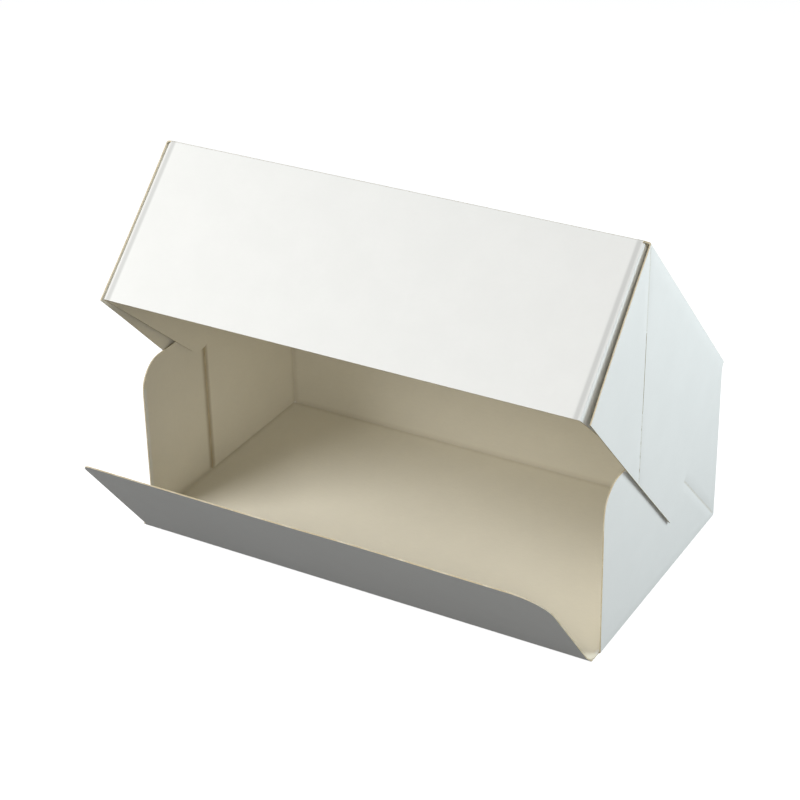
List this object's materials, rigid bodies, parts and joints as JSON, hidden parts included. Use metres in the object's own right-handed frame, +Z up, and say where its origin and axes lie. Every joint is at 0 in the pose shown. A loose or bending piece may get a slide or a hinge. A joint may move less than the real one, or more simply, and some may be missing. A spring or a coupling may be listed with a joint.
{
  "type": "cake box",
  "caption": "Folding board cake box with an open tray, a hinged lid with hanging front and sides, and a front flap that folds out.",
  "frame": {"origin": "middle of the base panel, on its underside", "axes": "+X along the length of the box, +Z up, the open front faces -Y"},
  "size_m": [0.2518, 0.1897, 0.1924],
  "materials": {
    "tray_board": "white clay-coated board outside, uncoated cream board inside",
    "lid_board": "white clay-coated board outside, uncoated cream board inside",
    "flap_board": "white clay-coated board outside, uncoated cream board inside"
  },
  "bodies": {
    "tray": {"tray": "tray_board"},
    "lid": {"lid": "lid_board"},
    "front_flap": {"front_flap": "flap_board"}
  },
  "joints": [
    {"name": "lid_hinge", "type": "hinge", "parent": "tray", "child": "lid", "pos_m": [0, 0.071, 0.087], "axis": [-1, 0, 0], "range_deg": [-47, 133]},
    {"name": "front_flap_hinge", "type": "hinge", "parent": "tray", "child": "front_flap", "pos_m": [0, -0.071, 0.0006], "axis": [1, 0, 0], "range_deg": [-38, 52]}
  ]
}
